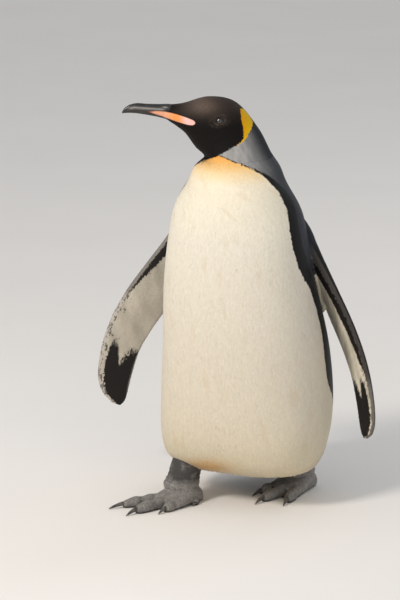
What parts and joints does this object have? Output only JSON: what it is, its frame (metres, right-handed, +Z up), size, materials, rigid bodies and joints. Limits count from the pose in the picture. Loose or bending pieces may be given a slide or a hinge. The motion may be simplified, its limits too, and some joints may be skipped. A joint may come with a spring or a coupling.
{
  "type": "king penguin",
  "caption": "Life-size still king penguin in mid-step with its head turned to its right, flippers held out and both webbed feet flat on the ground.",
  "frame": {"origin": "on the ground, under the middle of the bird's outline from bill and flippers to tail", "axes": "+Z up; the chest faces -Y; the bird's left side is +X; the head is turned about 60 degrees towards -X"},
  "size_m": [0.5883, 0.3873, 0.7898],
  "materials": {
    "cream_plumage": "short dense cream feathers",
    "silver_plumage": "short silver-grey feathers",
    "dark_plumage": "velvety brown-black feathers",
    "slate_plumage": "stiff slate-grey feathers",
    "flipper_plumage": "scale-like cream and slate feathers",
    "horn": "satin black horn",
    "bill_plate": "smooth pink to orange horn",
    "eye": "wet dark brown",
    "foot_skin": "scaly dark grey skin",
    "claw": "dark horn"
  },
  "bodies": {
    "root": {"trunk": "cream_plumage", "neck": "silver_plumage", "head": "dark_plumage", "eye_left": "eye", "eye_right": "eye", "bill_upper": "horn", "bill_lower": "horn", "plate_left": "bill_plate", "plate_right": "bill_plate", "flipper_left": "flipper_plumage", "flipper_right": "flipper_plumage", "tail": "slate_plumage", "leg_left": "foot_skin", "leg_right": "foot_skin", "foot_left": "foot_skin", "foot_right": "foot_skin", "claw_left_inner": "claw", "claw_left_middle": "claw", "claw_left_outer": "claw", "claw_left_hind": "claw", "claw_right_inner": "claw", "claw_right_middle": "claw", "claw_right_outer": "claw", "claw_right_hind": "claw"}
  },
  "joints": []
}
